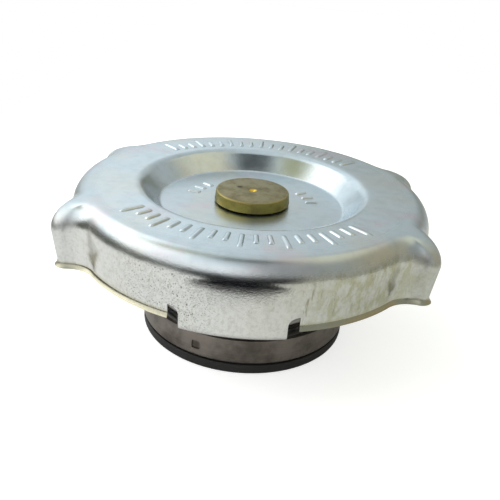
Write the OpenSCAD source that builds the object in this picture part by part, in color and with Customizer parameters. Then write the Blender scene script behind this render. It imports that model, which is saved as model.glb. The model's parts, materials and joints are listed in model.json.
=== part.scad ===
// Pressure cap for a radiator filler neck, in millimetres.
// Z = 0 is the underside of the pressure gasket, and +Z runs up the rivet's axis.
// The bayonet lugs lie on the Y axis, and the grip lobes lie either side of the X axis.

/* [Shell outline] */
// Outer radius of the long arcs that carry the lugs
main_r = 33; // [31:0.1:35]
// Outer radius of the short arcs between two lobes
side_r = 33.5; // [32.5:0.1:35]
// Distance that a lobe's tip stands out past the short arcs
lobe_rise = 4.1; // [3:0.1:6]
// Radius of a lobe's round tip
lobe_tip_r = 2.4; // [2.4:0.1:4]
// Radius of the hollow blend on each side of a lobe
lobe_blend_r = 5.2; // [3:0.1:6]
// Angle between a lobe and the X axis
lobe_angle = 28.5; // [25:0.5:32]

/* [Shell section] */
// Thickness of the pressed sheet
sheet = 1; // [0.6:0.05:1.3]
// Height from the skirt's lower edge to the plateau
skirt_h = 12.2; // [10.5:0.1:15]
// Width of the shoulder on the long arcs
shoulder_w = 2.8; // [2:0.1:4]
// Height of the shoulder on the long arcs
shoulder_h = 4.4; // [3:0.1:6]
// Further height of the shoulder at a lobe's tip
lobe_fall = 0.9; // [0:0.1:2]
// Inward lean of the skirt, from the shoulder to the lower edge
skirt_draft = 0.8; // [0:0.1:1]
// Outward flare of the trimmed lower edge
lip_flare = 0.3; // [0.1:0.05:0.8]
// Height over which the lower edge flares
lip_h = 1.1; // [0.5:0.1:1.6]

/* [Recess] */
// Depth of the recess below the plateau
recess_depth = 3.8; // [3.2:0.1:4.5]
// Radius of the recess's flat floor
recess_floor_r = 17.2; // [16:0.1:18]
// Radius of the bend at the foot of the recess wall
recess_foot_r = 0.9; // [0.5:0.1:1.1]
// Radius of the rounded edge at the top of the recess wall
recess_lip_r = 2.6; // [1.6:0.1:3]
// Slope of the recess wall between those two bends
recess_angle = 47; // [40:1:60]

/* [Bayonet lugs] */
// Width of a lug
lug_w = 17.1; // [14:0.1:20]
// Drop of a lug below the skirt's lower edge
lug_drop = 2.4; // [2.2:0.1:4]
// Depth of the lug's turned-in foot, from the skirt's outer face
lug_depth = 4.5; // [3.5:0.1:5]
// Outer radius of the bend above that foot
lug_bend_r = 1.6; // [1.4:0.1:2]
// Width of the notch on each side of a lug
notch_w = 1.8; // [1.6:0.1:2.6]
// Rise of that notch above the skirt's lower edge
notch_rise = 2.3; // [1.8:0.1:2.8]
// Radius of the notch's corner on the lug's side
notch_corner_r = 1.4; // [0.8:0.1:1.5]

/* [Rivet] */
// Radius of the button head
head_r = 7.2; // [6:0.1:8]
// Thickness of the button head
head_t = 2.1; // [1.8:0.1:2.6]
// Narrowing of the head's radius from its underside to its top
head_taper = 0.25; // [0:0.05:0.4]
// Bevel round the head's edges
head_bevel = 0.2; // [0.1:0.05:0.4]
// Radius of the ball that leaves the dimple in the head
dimple_ball_r = 1.2; // [0.8:0.1:1.6]
// Depth of that dimple
dimple_depth = 0.4; // [0.2:0.05:0.6]
// Radius of the shoulder that the shell turns on
rivet_shoulder_r = 3.2; // [2.8:0.1:3.8]
// Radius of the shank through the clamped plates
rivet_shank_r = 2; // [1.6:0.1:2.4]
// Radius of the upset tail
rivet_tail_r = 3.4; // [3:0.1:4]
// Thickness of the upset tail
rivet_tail_t = 1; // [0.8:0.1:1.4]

/* [Upper seal] */
// Height of the upper gasket's underside above the pressure gasket's underside
reach = 21.1; // [20:0.1:25]
// Thickness of the upper gasket
upper_gasket_t = 1.5; // [1.4:0.1:2]
// Thickness of the upper gasket where the spring seat clamps it
upper_land_t = 1.2; // [0.9:0.05:1.3]
// Thickness of the diaphragm
diaphragm_t = 0.4; // [0.3:0.05:0.5]
// Rise from the diaphragm's rim to its hub
diaphragm_rise = 1.4; // [1:0.1:1.8]
// Width of the diaphragm's sloping part, outside the spring seat's hub
diaphragm_slope_w = 2; // [1.8:0.1:2.2]
// Radial space between the skirt's inner face and the diaphragm's rim
rim_clear = 4; // [3.5:0.1:5]
// Thickness of the spring seat
seat_t = 0.7; // [0.5:0.05:0.9]
// Radius of the spring seat's flat hub
seat_hub_r = 12.5; // [12:0.1:13.5]
// Radius at which the spring seat's flange starts
seat_flange_in_r = 15.5; // [15:0.1:16]

/* [Bell] */
// Outer radius of the bell
bell_r = 11.5; // [11:0.1:11.8]
// Wall of the bell
bell_wall = 0.8; // [0.6:0.05:1]
// Radius of the opening in the bell's turned-in rim
bell_mouth_r = 8.2; // [7.9:0.1:8.6]

/* [Pressure spring] */
// Wire thickness of the pressure spring
spring_wire = 2.2; // [1.8:0.1:2.4]
// Turns of the pressure spring
spring_turns = 5; // [4:0.5:6]

/* [Pressure valve] */
// Outer radius of the valve cup
cup_r = 20.4; // [19.6:0.1:21]
// Height of the valve cup
cup_h = 5.2; // [4:0.1:6]
// Wall of the valve cup
cup_wall = 0.7; // [0.5:0.05:0.9]
// Outer radius of the bend between the cup's floor and wall
cup_bend_r = 1; // [1:0.1:1.6]
// Number of nibs that centre the spring
nib_count = 3; // [2:1:4]
// Angle of the first nib
nib_angle = 249.5; // [0:0.5:359.5]
// Width and height of a nib
nib_w = 1.6; // [1.2:0.1:2]
// Distance that a nib stands inside the cup's wall
nib_rise = 0.8; // [0.6:0.05:1]
// Depth of the pocket left outside a nib
nib_pocket = 0.3; // [0.2:0.05:0.4]
// Thickness of the pressure gasket
gasket_t = 2.1; // [2.1:0.1:3]
// Radius by which the gasket stays inside the cup's outline
gasket_inset = 0.1; // [0:0.05:0.4]
// Radius of the gasket's rounded lower edge
gasket_edge_r = 0.8; // [0.4:0.1:1.2]
// Outer radius of the spool's tube
spool_r = 7.1; // [6.8:0.1:7.4]
// Wall of the spool
spool_wall = 0.8; // [0.6:0.05:1]
// Height of the spool's top above the pressure gasket's underside
spool_top = 10.8; // [10:0.1:12]
// Radius of the spool's trapped top flange
spool_flange_r = 9.8; // [9.4:0.1:10]
// Radius of the collar above the cup's floor
spool_collar_r = 8.6; // [8.2:0.1:9.4]
// Radius of the spool's plate below the gasket
spool_plate_r = 10.8; // [10:0.1:11.5]
// Thickness of the gasket where the spool's plate clamps it
gasket_land_t = 0.5; // [0.4:0.05:0.5]

/* [Vacuum valve] */
// Radius of the vacuum valve's disc
vent_r = 8; // [7.4:0.1:8.6]
// Thickness of that disc
vent_t = 0.35; // [0.3:0.05:0.4]
// Radius of the vacuum valve's stem
vent_stem_r = 1.5; // [1.2:0.05:1.7]
// Radius of the stem's neck that holds the keeper
vent_neck_r = 1; // [0.8:0.05:1.1]
// Height from the spool's plate to the keeper
vent_spring_h = 5.4; // [5:0.1:6]
// Thickness of the rubber seal on the disc
vent_seal_t = 0.3; // [0.2:0.05:0.3]
// Width of the seal's margin inside the disc's edge
vent_seal_margin = 0.4; // [0.2:0.1:0.8]
// Outer radius of the keeper
keeper_r = 3.2; // [3:0.1:3.8]
// Thickness of the keeper
keeper_t = 0.6; // [0.5:0.05:0.8]
// Wire thickness of the vacuum spring
vent_wire = 0.5; // [0.4:0.05:0.6]
// Turns of the vacuum spring
vent_turns = 5; // [4:0.5:6]
// Number of breather holes in the spool's plate
breather_count = 4; // [3:1:5]
// Radius of a breather hole
breather_r = 0.9; // [0.7:0.05:1]

/* [Clearances] */
// Radial running clearance of the shell on the rivet, and of the stem in the spool
running_clear = 0.05; // [0.02:0.01:0.1]
// Space above and below the shell's floor, between the head and the diaphragm
slip_clear = 0.3; // [0.2:0.05:0.4]
// Radial clearance of a plate on the shank or tube that it is clamped to
clamp_clear = 0.03; // [0.01:0.01:0.1]
// Radial space round a stem or flange that does not hold its neighbour
loose_clear = 0.3; // [0.2:0.05:0.4]
// Space between two pieces that meet at rest and part in use
seat_clear = 0.1; // [0.05:0.01:0.2]

/* [Hidden] */
$fn = 96;

// Heights, from the pressure gasket up to the plateau
cup_floor_z = gasket_t + cup_wall;
rim_z = reach + upper_gasket_t;
seat_rim_z = rim_z - upper_land_t;
hub_z = rim_z + diaphragm_rise;
slip_z = hub_z + diaphragm_t;
floor_z = slip_z + slip_clear + sheet;
plateau_z = floor_z + recess_depth;
skirt_z = plateau_z - skirt_h;
lug_z = skirt_z - lug_drop;
head_z = floor_z + slip_clear;
seat_hub_z = hub_z - seat_t;
bell_floor_z = seat_hub_z - bell_wall;
spool_plate_z = gasket_t - gasket_land_t - spool_wall;
spool_flange_z = spool_top - spool_wall;
bell_mouth_z = spool_flange_z - seat_clear - bell_wall;
vent_seal_z = spool_plate_z - seat_clear / 2 - vent_seal_t;
vent_z = vent_seal_z - vent_t;
keeper_z = spool_plate_z + spool_wall + vent_spring_h;

// Radii that fit one piece to another
shell_bore_r = rivet_shoulder_r + running_clear;
rim_r = main_r - sheet - rim_clear;
plateau_r = main_r - shoulder_w;
lobe_past = side_r + lobe_rise - main_r;
seat_r = cup_r;
nib_reach = cup_wall + nib_rise;
spring_r = cup_r - nib_reach - seat_clear - spring_wire / 2;
breather_ring_r = (vent_stem_r + spool_r - spool_wall) / 2;
vent_spring_r = vent_stem_r + loose_clear + vent_wire / 2;

// Steps used for the shell's sweep and for the coils
shoulder_steps = 5;
recess_steps = 3;
foot_steps = 3;
blend_steps = 4;
tip_steps = 8;
side_steps = 5;
main_steps = 6;
lug_steps = 6;
spring_steps = 20;
spring_sides = 8;
vent_steps = 16;
vent_sides = 6;
// Pitch of a coil's closed end turns, as a multiple of its wire
dead_pitch = 1.03;
// Shares of the notch's width that the lug's section runs on into, and that the plain lip starts after
lug_run = 0.75;
lip_run = 0.95;
// Width of swept sheet that the bore then cuts away
bore_trim = 1;
// Excess that carries a cut clear of the solid it cuts
past = 1;

function polar(r, a) = [r * cos(a), r * sin(a)];
function bearing(from, to) = atan2(to[1] - from[1], to[0] - from[0]);
function half_turn(a) = a - 360 * floor((a + 180) / 360);
function full_turn(a) = a - 360 * floor(a / 360);
function at(p, z) = [p[0], p[1], z];

// A station of the outline is a point, its outward normal, and 1 on a lug or 0 elsewhere.
function arc(centre, r, start, sweep, steps, side = 1, lug = 0) =
    [for (i = [0 : steps - 1]) let (a = start + sweep * i / steps)
        [centre + polar(r, a), side * polar(1, a), lug]];

lobe_centre_r = side_r + lobe_rise - lobe_tip_r;

// Angle at the axis between a lobe and its blend into an arc of radius r
function blend_angle(r) =
    let (out = r + lobe_blend_r, span = lobe_tip_r + lobe_blend_r)
    acos((lobe_centre_r * lobe_centre_r + out * out - span * span) / (2 * lobe_centre_r * out));

// One lobe at angle a: the blend out of the arc before it, the tip, and the blend into the arc after it
function lobe(a, r_before, r_after) =
    let (tip = polar(lobe_centre_r, a),
         before = polar(r_before + lobe_blend_r, a - blend_angle(r_before)),
         after = polar(r_after + lobe_blend_r, a + blend_angle(r_after)),
         b0 = bearing(before, [0, 0]), b1 = bearing(before, tip),
         t0 = bearing(tip, before), t1 = bearing(tip, after),
         c0 = bearing(after, tip), c1 = bearing(after, [0, 0]))
    concat(arc(before, lobe_blend_r, b0, half_turn(b1 - b0), blend_steps, -1),
           arc(tip, lobe_tip_r, t0, full_turn(t1 - t0), tip_steps),
           arc(after, lobe_blend_r, c0, half_turn(c1 - c0), blend_steps, -1));

lug_edge = asin(lug_w / 2 / main_r);
notch_edge = asin((lug_w / 2 + notch_w) / main_r);
// The lug's section runs on into the notch, which then trims it square.
lug_end = lug_edge + lug_run * (notch_edge - lug_edge);
lip_start = lug_edge + lip_run * (notch_edge - lug_edge);

// A long arc centred on angle a: plain, then the lug between its notches, then plain
function long_arc(a) =
    let (end = 90 - lobe_angle - blend_angle(main_r))
    concat(arc([0, 0], main_r, a - end, end - lip_start, main_steps),
           arc([0, 0], main_r, a - lip_start, 0, 1),
           arc([0, 0], main_r, a - lug_end, 2 * lug_end, lug_steps, 1, 1),
           arc([0, 0], main_r, a + lug_end, 0, 1, 1, 1),
           arc([0, 0], main_r, a + lip_start, end - lip_start, main_steps));

function short_arc(a) =
    let (end = lobe_angle - blend_angle(side_r))
    arc([0, 0], side_r, a - end, 2 * end, side_steps);

outline = concat(short_arc(0), lobe(lobe_angle, side_r, main_r), long_arc(90),
                 lobe(180 - lobe_angle, main_r, side_r), short_arc(180),
                 lobe(180 + lobe_angle, side_r, main_r), long_arc(270),
                 lobe(360 - lobe_angle, main_r, side_r));

// The sheet's section below the shoulder, as [distance outward, height] pairs: a lug's turned-in foot,
// or the flared lower edge, each with the same number of points
function lug_bend(r, b) = [r * cos(b) - lug_bend_r - skirt_draft, lug_z + lug_bend_r - r * sin(b)];
function lug_foot() =
    concat([for (j = [0 : foot_steps]) lug_bend(lug_bend_r, 90 * j / foot_steps)],
           [[-skirt_draft - lug_depth, lug_z], [-skirt_draft - lug_depth, lug_z + sheet]],
           [for (j = [foot_steps : -1 : 0]) lug_bend(lug_bend_r - sheet, 90 * j / foot_steps)]);
function lip_curve(inset, u) = [lip_flare * u * u - inset - skirt_draft, skirt_z + lip_h * (1 - u)];
function lip_foot() =
    concat([for (j = [0 : foot_steps]) lip_curve(0, j / foot_steps)],
           [lip_curve(sheet / 3, 1), lip_curve(sheet * 2 / 3, 1)],
           [for (j = [foot_steps : -1 : 0]) lip_curve(sheet, j / foot_steps)]);

// The recess in section, as [radius, height] pairs from the bore up to the plateau, at a depth below the
// sheet's upper face
bends_r = recess_foot_r + recess_lip_r;
wall_run = (recess_depth - bends_r * (1 - cos(recess_angle))) / sin(recess_angle);
recess_r = recess_floor_r + bends_r * sin(recess_angle) + wall_run * cos(recess_angle);
lip_centre = [recess_r, plateau_z - recess_lip_r];
foot_centre = [recess_floor_r, floor_z + recess_foot_r];
function recess_face(depth, steps) =
    concat([[shell_bore_r - bore_trim, floor_z - depth]],
           [for (i = [0 : steps]) foot_centre + polar(recess_foot_r + depth, recess_angle * i / steps - 90)],
           [for (i = [0 : steps])
               lip_centre + polar(recess_lip_r - depth, 90 + recess_angle * (1 - i / steps))]);

// The whole section at one station, from the bore's upper edge, over the plateau and round the foot,
// back to the bore's lower edge
function section(station) =
    let (p = station[0], n = station[1], r = norm(p), past_main = max(r - main_r, 0),
         fall = shoulder_h + lobe_fall * past_main / lobe_past,
         edge = p * (plateau_r / r), inner = p - n * sheet,
         foot = station[2] == 1 ? lug_foot() : lip_foot(),
         under = recess_face(sheet, recess_steps))
    concat([for (f = recess_face(0, recess_steps)) at(p * (f[0] / r), f[1])],
           [for (i = [0 : shoulder_steps]) let (a = 90 * i / shoulder_steps)
               at(edge + (p - edge) * sin(a), plateau_z - fall * (1 - cos(a)))],
           [for (f = foot) at(p + n * f[0], f[1])],
           [for (i = [shoulder_steps : -1 : 0]) let (a = 90 * i / shoulder_steps)
               at(edge + (inner - edge) * sin(a), plateau_z - sheet - (fall - sheet) * (1 - cos(a)))],
           [for (i = [len(under) - 1 : -1 : 0]) at(p * (under[i][0] / r), under[i][1])]);

// A closed sweep: rings of equal length, joined ring to ring, with the last ring joined to the first
function ring_faces(rings, size, closed) =
    [for (i = [0 : rings - (closed ? 1 : 2)], j = [0 : size - 1])
        let (a = i * size, b = ((i + 1) % rings) * size, k = (j + 1) % size)
        each [[a + j, b + k, b + j], [a + j, a + k, b + k]]];

module shell_sweep() {
    rings = [for (s = outline) section(s)];
    polyhedron(points = [for (ring = rings) each ring],
               faces = ring_faces(len(rings), len(rings[0]), true), convexity = 8);
}

// A quarter of a bend in sheet of the given thickness, about the origin, in the quadrant [sx, sy]
module quarter_bend(r_out, thickness, sx, sy) {
    intersection() {
        difference() {
            circle(r_out);
            circle(r_out - thickness);
        }
        translate([sx > 0 ? 0 : -r_out, sy > 0 ? 0 : -r_out]) square(r_out);
    }
}

// The notch beside a lug, with u running away from the lug
module notch_shape() {
    top = skirt_z + notch_rise;
    low = lug_z - past;
    translate([0, low]) square([notch_w, top - notch_corner_r - low]);
    translate([notch_corner_r, low]) square([notch_w - notch_corner_r, top - low]);
    translate([notch_corner_r, top - notch_corner_r]) circle(notch_corner_r);
}

module notch() {
    depth = skirt_draft + lug_depth + 2 * past;
    translate([lug_w / 2, main_r + past, 0])
        rotate([90, 0, 0]) linear_extrude(depth + main_r * (1 - cos(notch_edge))) notch_shape();
}

module cap_shell() {
    color("lightsteelblue") difference() {
        shell_sweep();
        translate([0, 0, floor_z - sheet - past]) cylinder(h = sheet + 2 * past, r = shell_bore_r);
        for (end = [0, 180], flip = [0, 1]) rotate(end) mirror([flip, 0, 0]) notch();
    }
}

module centre_rivet() {
    top = head_z + head_t;
    top_r = head_r - head_taper;
    color("darkgoldenrod") difference() {
        rotate_extrude() polygon([
            [0, bell_floor_z - rivet_tail_t], [rivet_tail_r, bell_floor_z - rivet_tail_t],
            [rivet_tail_r, bell_floor_z], [rivet_shank_r, bell_floor_z], [rivet_shank_r, slip_z],
            [rivet_shoulder_r, slip_z], [rivet_shoulder_r, head_z], [head_r - head_bevel, head_z],
            [head_r, head_z + head_bevel], [top_r, top - head_bevel], [top_r - head_bevel, top], [0, top]]);
        translate([0, 0, top + dimple_ball_r - dimple_depth]) sphere(dimple_ball_r);
    }
}

// A dished plate on the shank: flat hub, cone and flat rim, given the hub's and rim's undersides
module dished_plate(hub_r, hub_under, rim_in_r, rim_out_r, rim_under, thickness) {
    rotate_extrude() polygon([
        [rivet_shank_r + clamp_clear, hub_under], [hub_r, hub_under], [rim_in_r, rim_under],
        [rim_out_r, rim_under], [rim_out_r, rim_under + thickness], [rim_in_r, rim_under + thickness],
        [hub_r, hub_under + thickness], [rivet_shank_r + clamp_clear, hub_under + thickness]]);
}

module diaphragm() {
    color("silver")
        dished_plate(seat_hub_r, hub_z, seat_hub_r + diaphragm_slope_w, rim_r, rim_z, diaphragm_t);
}

module upper_gasket() {
    inner_r = seat_flange_in_r + loose_clear;
    land_r = seat_r + loose_clear;
    color("dimgray") rotate_extrude() polygon([
        [inner_r, seat_rim_z], [land_r, seat_rim_z], [land_r, reach],
        [rim_r, reach], [rim_r, rim_z], [inner_r, rim_z]]);
}

module spring_seat() {
    color("gainsboro")
        dished_plate(seat_hub_r, seat_hub_z, seat_flange_in_r, seat_r, seat_rim_z - seat_t, seat_t);
}

module bell() {
    bend = bell_wall * 2;
    inner_r = bell_r - bell_wall;
    color("lightgray") rotate_extrude() {
        // closed end on the shank
        translate([rivet_shank_r + clamp_clear, bell_floor_z])
            square([bell_r - bend - rivet_shank_r - clamp_clear, bell_wall]);
        translate([bell_r - bend, seat_hub_z - bend]) quarter_bend(bend, bell_wall, 1, 1);
        // wall, and the rim turned in round the spool
        translate([inner_r, bell_mouth_z + bend]) square([bell_wall, seat_hub_z - bell_mouth_z - 2 * bend]);
        translate([bell_r - bend, bell_mouth_z + bend]) quarter_bend(bend, bell_wall, 1, -1);
        translate([bell_mouth_r, bell_mouth_z]) square([bell_r - bend - bell_mouth_r, bell_wall]);
    }
}

// Height along a coil spring with a closed turn at each end
function coil_z(turn, turns, wire, low, high) =
    let (dead = wire * dead_pitch, span = high - low)
    turn < 1 ? low + dead * turn
    : turn > turns - 1 ? high - dead * (turns - turn)
    : low + dead + (span - 2 * dead) * (turn - 1) / (turns - 2);

// A coil of round wire between two heights, which its wire stays between
module coil(r, wire, turns, low, high, steps, sides) {
    count = turns * steps + 1;
    points = [for (i = [0 : count - 1], j = [0 : sides - 1])
        let (turn = i / steps, b = 360 * j / sides,
             z = coil_z(turn, turns, wire, low + wire / 2, high - wire / 2))
        at(polar(r + wire / 2 * cos(b), 360 * turn), z + wire / 2 * sin(b))];
    last = (count - 1) * sides;
    faces = concat(ring_faces(count, sides, false),
                   [[for (j = [0 : sides - 1]) j], [for (j = [sides - 1 : -1 : 0]) last + j]]);
    polyhedron(points = points, faces = faces, convexity = 8);
}

module pressure_spring() {
    color("slategray") coil(spring_r, spring_wire, spring_turns, cup_floor_z + seat_clear,
                            seat_rim_z - seat_t - seat_clear, spring_steps, spring_sides);
}

module valve_cup() {
    hole_r = spool_r + clamp_clear;
    nib_z = gasket_t + cup_h / 2;
    color("dimgray") difference() {
        union() {
            rotate_extrude() {
                translate([hole_r, gasket_t]) square([cup_r - cup_bend_r - hole_r, cup_wall]);
                translate([cup_r - cup_bend_r, gasket_t + cup_bend_r])
                    quarter_bend(cup_bend_r, cup_wall, 1, -1);
                translate([cup_r - cup_wall, gasket_t + cup_bend_r]) square([cup_wall, cup_h - cup_bend_r]);
            }
            for (i = [0 : nib_count - 1]) rotate(nib_angle + 360 * i / nib_count)
                translate([cup_r - nib_reach, -nib_w / 2, nib_z - nib_w / 2])
                    cube([nib_reach - cup_wall / 2, nib_w, nib_w]);
        }
        for (i = [0 : nib_count - 1]) rotate(nib_angle + 360 * i / nib_count)
            translate([cup_r - nib_pocket, -nib_w / 2, nib_z - nib_w / 2])
                cube([nib_pocket + past, nib_w, nib_w]);
    }
}

module pressure_gasket() {
    outer_r = cup_r - gasket_inset;
    hole_r = spool_r + clamp_clear;
    land_r = spool_plate_r + seat_clear;
    land_z = gasket_t - gasket_land_t;
    color([0.12, 0.12, 0.12]) rotate_extrude() {
        translate([hole_r, land_z]) square([land_r - hole_r, gasket_land_t]);
        translate([land_r, 0]) square([outer_r - gasket_edge_r - land_r, gasket_t]);
        translate([outer_r - gasket_edge_r, gasket_edge_r]) square([gasket_edge_r, gasket_t - gasket_edge_r]);
        translate([outer_r - gasket_edge_r, gasket_edge_r]) quarter_bend(gasket_edge_r, gasket_edge_r, 1, -1);
    }
}

module valve_spool() {
    inner_r = spool_r - spool_wall;
    color("peru") difference() {
        rotate_extrude() polygon([
            [vent_stem_r + running_clear, spool_plate_z], [spool_plate_r, spool_plate_z],
            [spool_plate_r, spool_plate_z + spool_wall], [spool_r, spool_plate_z + spool_wall],
            [spool_r, cup_floor_z], [spool_collar_r, cup_floor_z], [spool_collar_r, cup_floor_z + spool_wall],
            [spool_r, cup_floor_z + spool_wall], [spool_r, spool_flange_z], [spool_flange_r, spool_flange_z],
            [spool_flange_r, spool_top], [inner_r, spool_top], [inner_r, spool_plate_z + spool_wall],
            [vent_stem_r + running_clear, spool_plate_z + spool_wall]]);
        for (i = [0 : breather_count - 1]) rotate(360 * i / breather_count)
            translate([breather_ring_r, 0, spool_plate_z - past])
                cylinder(h = spool_wall + 2 * past, r = breather_r);
    }
}

module vacuum_valve() {
    head_top = keeper_z + 2 * keeper_t;
    color("gold") rotate_extrude() polygon([
        [0, vent_z], [vent_r, vent_z], [vent_r, vent_z + vent_t], [vent_stem_r, vent_z + vent_t],
        [vent_stem_r, keeper_z], [vent_neck_r, keeper_z], [vent_neck_r, keeper_z + keeper_t],
        [vent_stem_r, keeper_z + keeper_t], [vent_stem_r, head_top], [0, head_top]]);
}

module vacuum_seal() {
    color([0.15, 0.15, 0.15]) translate([0, 0, vent_seal_z]) difference() {
        cylinder(h = vent_seal_t, r = vent_r - vent_seal_margin);
        translate([0, 0, -past]) cylinder(h = vent_seal_t + 2 * past, r = vent_stem_r + clamp_clear);
    }
}

module vacuum_spring() {
    color("lightgray") coil(vent_spring_r, vent_wire, vent_turns, spool_plate_z + spool_wall + seat_clear,
                            keeper_z - seat_clear, vent_steps, vent_sides);
}

module vacuum_keeper() {
    color("goldenrod") translate([0, 0, keeper_z]) difference() {
        cylinder(h = keeper_t, r = keeper_r);
        translate([0, 0, -past]) cylinder(h = keeper_t + 2 * past, r = vent_neck_r + clamp_clear);
    }
}

cap_shell();
centre_rivet();
diaphragm();
upper_gasket();
spring_seat();
bell();
pressure_spring();
valve_cup();
pressure_gasket();
valve_spool();
vacuum_valve();
vacuum_seal();
vacuum_spring();
vacuum_keeper();
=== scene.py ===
# %% [markdown]
# # A radiator pressure cap
# The cap is a pressed and zinc-plated cover with four grip lobes. A brass rivet holds it, free to turn,
# to a sprung valve: a dark steel cup with a rubber seal under it.
# The CAD frame already holds every piece at its place and size, so this lesson adds only what the eye
# sees: smooth pressed surfaces, worn plating, patina, rubber, and the white studio round them.

# %% Load the frame
import json
import math

import bmesh
import bpy
import numpy as np
from mathutils import Matrix, Vector


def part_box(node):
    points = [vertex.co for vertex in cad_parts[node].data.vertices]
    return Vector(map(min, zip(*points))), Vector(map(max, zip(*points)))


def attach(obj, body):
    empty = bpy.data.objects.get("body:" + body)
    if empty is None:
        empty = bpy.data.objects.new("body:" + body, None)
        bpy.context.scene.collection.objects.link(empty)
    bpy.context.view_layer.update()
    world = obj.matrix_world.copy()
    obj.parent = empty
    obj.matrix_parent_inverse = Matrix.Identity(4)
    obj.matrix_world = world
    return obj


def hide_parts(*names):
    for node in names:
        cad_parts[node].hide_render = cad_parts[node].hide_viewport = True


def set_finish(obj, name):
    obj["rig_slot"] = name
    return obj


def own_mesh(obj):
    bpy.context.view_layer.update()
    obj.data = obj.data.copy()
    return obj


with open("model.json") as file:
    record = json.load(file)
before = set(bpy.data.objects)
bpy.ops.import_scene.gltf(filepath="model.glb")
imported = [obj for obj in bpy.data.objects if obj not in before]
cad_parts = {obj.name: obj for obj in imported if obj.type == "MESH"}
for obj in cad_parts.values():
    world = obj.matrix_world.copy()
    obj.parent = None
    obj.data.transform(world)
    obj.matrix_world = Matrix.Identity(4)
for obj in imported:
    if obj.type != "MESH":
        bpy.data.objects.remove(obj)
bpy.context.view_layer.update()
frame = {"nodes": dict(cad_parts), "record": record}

# %% [markdown]
# ## From numbers to a mesh
# A pressed or turned surface is a grid: one parameter runs along a profile and the other round the
# piece. Whole arrays of points are worked out at once, in millimetres, and one function turns any such
# grid into a Blender mesh in metres. Edges that turn sharply stay crisp, and all the rest is smooth.

# %% Grid and mesh helpers
MM = 0.001
CRISP_ANGLE = math.radians(42)


def grid_quads(rows, columns, wrap_rows=False, wrap_columns=True):
    """Quads of a grid: each joins a point, the next in its row, and the two above them."""
    row, column = np.meshgrid(np.arange(rows - (not wrap_rows)), np.arange(columns - (not wrap_columns)),
                              indexing="ij")
    up, on = (row + 1) % rows, (column + 1) % columns
    corners = [row * columns + column, row * columns + on, up * columns + on, up * columns + column]
    return np.stack(corners, axis=-1).reshape(-1, 4)


def make_piece(name, points, quads, body, slot, replaces=()):
    """One smooth object from points in millimetres, on its CAD body, with doubled points merged."""
    mesh = bpy.data.meshes.new(name)
    mesh.from_pydata(points.reshape(-1, 3) * MM, [], quads)
    mesh.validate()
    piece = bpy.data.objects.new(name, mesh)
    bpy.context.scene.collection.objects.link(piece)
    finish_mesh(mesh)
    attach(piece, body)
    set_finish(piece, slot)
    if replaces:
        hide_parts(*replaces)
    print(name, "has", len(mesh.polygons), "faces")
    return piece


def finish_mesh(mesh):
    """Merge doubled points, turn every face outwards, and smooth all but the crisp edges."""
    work = bmesh.new()
    work.from_mesh(mesh)
    bmesh.ops.remove_doubles(work, verts=work.verts, dist=1e-7)
    bmesh.ops.recalc_face_normals(work, faces=work.faces)
    work.to_mesh(mesh)
    work.free()
    mesh.polygons.foreach_set("use_smooth", np.ones(len(mesh.polygons), dtype=bool))
    mesh.set_sharp_from_angle(angle=CRISP_ANGLE)


print("a ring of 4 rows and 12 columns has", len(grid_quads(4, 12)), "quads")

# %% [markdown]
# ## The pressed cover
# The press draws a round blank into a cup with four lobes for the fingers. Seen from above, its outline
# is nothing but arcs: two long ones, two short ones, four round lobe tips, and a hollow blend on each
# side of every lobe. Each station of that outline then carries the same section of sheet: the recess,
# the flat round plateau, a shoulder that grows wider over the lobes, the skirt and its flared edge.

# %% Outline of the cover
shell_low, shell_high = [np.array(corner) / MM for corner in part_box("cap_shell")]
MAIN_R = shell_high[1]
SIDE_SWELL, LOBE_RISE = 0.5, 4.1
SIDE_R = MAIN_R + SIDE_SWELL
LOBE_TIP_R, LOBE_BLEND_R = 2.4, 5.2
LOBE_CENTRE_R = SIDE_R + LOBE_RISE - LOBE_TIP_R
LOBE_ANGLE = math.radians(28.5)
LUG_W, NOTCH_W = 17.1, 1.8
# Shares of the notch's width at which the lug's section ends and the plain lip starts
LUG_RUN, LIP_RUN = 0.75, 0.95
TIP_STEPS, BLEND_STEPS, SIDE_STEPS, MAIN_STEPS, LUG_STEPS = 26, 14, 28, 56, 44


def polar(radius, angle):
    """Points at a radius and an array of angles."""
    return radius * np.stack([np.cos(angle), np.sin(angle)], axis=-1)


def arc(centre, radius, start, sweep, steps, side=1, lug=0):
    """Stations along an arc: point x, y, outward normal x, y, and 1 on a lug."""
    angle = start + sweep * np.arange(steps) / steps
    flag = np.full((steps, 1), float(lug))
    return np.hstack([centre + polar(radius, angle), side * polar(1, angle), flag])


def bearing(origin, target):
    """Angle of the line from one point to another."""
    return math.atan2(target[1] - origin[1], target[0] - origin[0])


def half_turn(angle):
    """The same angle, between minus and plus half a turn."""
    return (angle + math.pi) % (2 * math.pi) - math.pi


def blend_angle(radius):
    """Angle at the axis between a lobe and its blend, by the cosine rule on their three centres."""
    out, span = radius + LOBE_BLEND_R, LOBE_TIP_R + LOBE_BLEND_R
    return math.acos((LOBE_CENTRE_R ** 2 + out ** 2 - span ** 2) / (2 * LOBE_CENTRE_R * out))


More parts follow.
